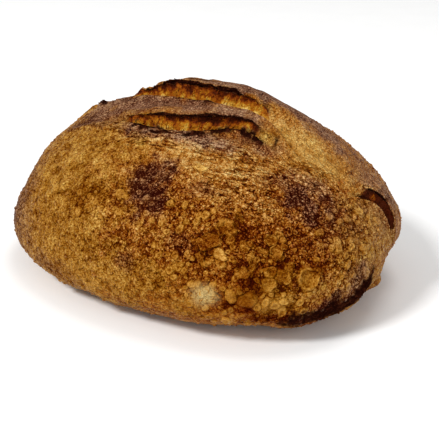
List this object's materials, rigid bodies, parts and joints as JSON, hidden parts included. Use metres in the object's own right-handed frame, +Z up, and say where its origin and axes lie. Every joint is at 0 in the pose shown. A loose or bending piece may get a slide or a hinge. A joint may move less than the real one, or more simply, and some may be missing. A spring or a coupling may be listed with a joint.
{
  "type": "sourdough loaf",
  "caption": "Oval hearth-baked sourdough loaf with a domed, blistered crust, lengthwise scores with lifted ears over torn crumb, and a flat base to rest on.",
  "frame": {"origin": "on the surface that the loaf rests on, below the middle of its box", "axes": "+X along the loaf's length, towards its broader end; +Z up; the front, below the lips that the scores' ears hang over, is -Y"},
  "size_m": [0.2428, 0.1926, 0.1159],
  "materials": {
    "baked_crust": "baked bread crust: golden ochre to red brown, blistered, charred at the scores' ears and low on the right end, with a faint gloss on the blisters"
  },
  "bodies": {
    "root": {"loaf": "baked_crust"}
  },
  "joints": []
}
